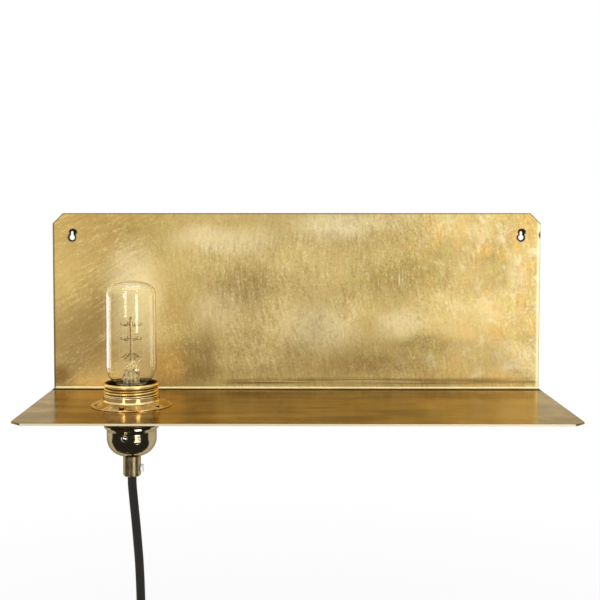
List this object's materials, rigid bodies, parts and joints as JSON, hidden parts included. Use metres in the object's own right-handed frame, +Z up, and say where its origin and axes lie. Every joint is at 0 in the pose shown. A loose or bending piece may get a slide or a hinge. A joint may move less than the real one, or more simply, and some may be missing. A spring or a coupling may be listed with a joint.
{
  "type": "wall lamp with shelf",
  "caption": "Wall lamp bent from brass sheet, whose foot is a shelf with a lampholder through it, with a clear tubular bulb and a cord with switch and plug.",
  "frame": {"origin": "on the wall, midway between the two wall holes", "axes": "+X to the right along the shelf, +Y into the wall, +Z up along the bulb"},
  "size_m": [0.4, 0.146, 0.4608],
  "materials": {
    "brass_sheet": "brushed, patinated and lacquered",
    "brass_polished": "polished",
    "brass_plain": "turned",
    "porcelain": "glazed",
    "steel": "satin",
    "nylon": "moulded",
    "textile": "braided",
    "wire_brown": "extruded",
    "wire_blue": "extruded",
    "wire_green": "extruded",
    "clear_glass": "clear",
    "cap_metal": "bright",
    "black_insulator": "glazed",
    "filament_wire": "drawn",
    "black_plastic": "moulded",
    "black_soft": "moulded"
  },
  "bodies": {
    "root": {"bent_plate": "brass_sheet", "upper_ring": "brass_polished", "lower_ring": "brass_polished", "threaded_skirt": "brass_polished", "holder_cap": "brass_polished", "cap_lock_screw": "brass_polished", "ceramic_core": "porcelain", "screw_shell": "brass_polished", "centre_contact": "brass_plain", "side_contact": "brass_plain", "contact_screws": "steel", "live_terminal": "brass_plain", "neutral_terminal": "brass_plain", "earth_terminal": "brass_plain", "terminal_screws": "steel", "cord_grip": "brass_plain", "grip_nut": "steel", "grip_screw": "nylon", "cord_sheath_end": "textile", "live_wire": "wire_brown", "neutral_wire": "wire_blue", "earth_wire": "wire_green", "cord": "textile", "cord_coil": "textile", "coil_tie": "black_soft", "plug_lead": "textile", "switch_front": "black_plastic", "switch_back": "black_plastic", "switch_screws": "steel", "plug_body": "black_plastic", "plug_relief": "black_soft", "plug_pins": "steel", "plug_earth_strips": "steel"},
    "bulb_tip": {"bulb_insulator": "black_insulator", "bulb_contact": "cap_metal"},
    "bulb": {"bulb_glass": "clear_glass", "bulb_screw_cap": "cap_metal", "bulb_stem": "clear_glass", "bulb_leads": "filament_wire", "filament_hooks": "filament_wire", "filament": "filament_wire"},
    "rocker": {"switch_rocker": "black_plastic"}
  },
  "joints": [
    {"name": "bulb_rise", "type": "slide", "parent": "root", "child": "bulb_tip", "axis": [0, 0, 1], "range_m": [0, 0.0146]},
    {"name": "bulb_turn", "type": "hinge", "parent": "bulb_tip", "child": "bulb", "pos_m": [-0.125, -0.075, -0.13], "axis": [0, 0, 1], "range_deg": [0, 1440]},
    {"name": "switch_rock", "type": "hinge", "parent": "root", "child": "rocker", "pos_m": [-0.119, -0.0832, -0.3018], "axis": [1, 0, 0], "range_deg": [0, 14]}
  ],
  "couplings": [
    {"joint": "bulb_rise", "follows": "bulb_turn", "m_per_rad": 0.00057757}
  ]
}
